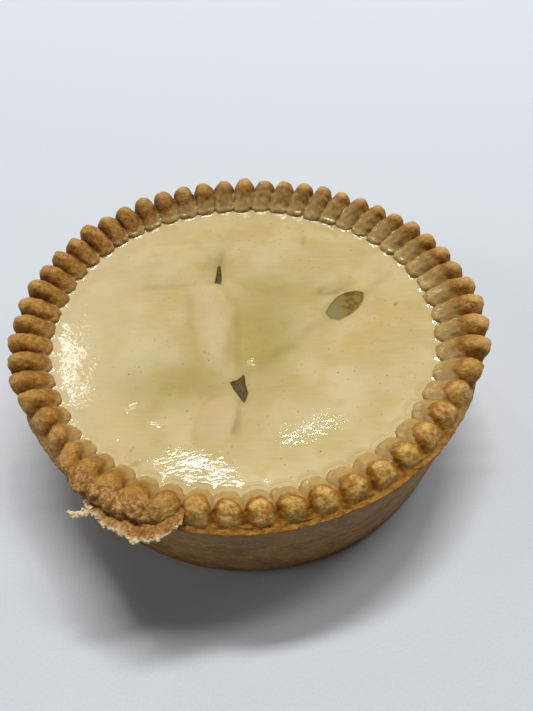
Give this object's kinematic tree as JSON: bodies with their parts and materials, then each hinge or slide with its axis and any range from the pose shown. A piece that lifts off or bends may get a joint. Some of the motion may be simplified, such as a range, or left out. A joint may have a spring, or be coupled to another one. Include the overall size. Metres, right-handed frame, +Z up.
{
  "type": "pork pie",
  "caption": "Round hand-raised pork pie: deep baked pastry case, crimped browned rim with a torn flake, sunken jelly-glazed lid with small vents",
  "frame": {"origin": "centre of the flat base, on the surface that the pie stands on", "axes": "+Z up; +Y away from the viewer of the usual front view; +X to that viewer's right; the torn flake of the rim is at the front left"},
  "size_m": [0.1318, 0.1294, 0.0413],
  "materials": {
    "pastry": "baked hot-water pastry, browned on the rim, pale and glazed with set jelly on the lid",
    "jelly": "set savoury jelly, clear, amber and glossy, a thin film on the lid and in the vents"
  },
  "bodies": {
    "root": {"crust": "pastry"}
  },
  "joints": []
}
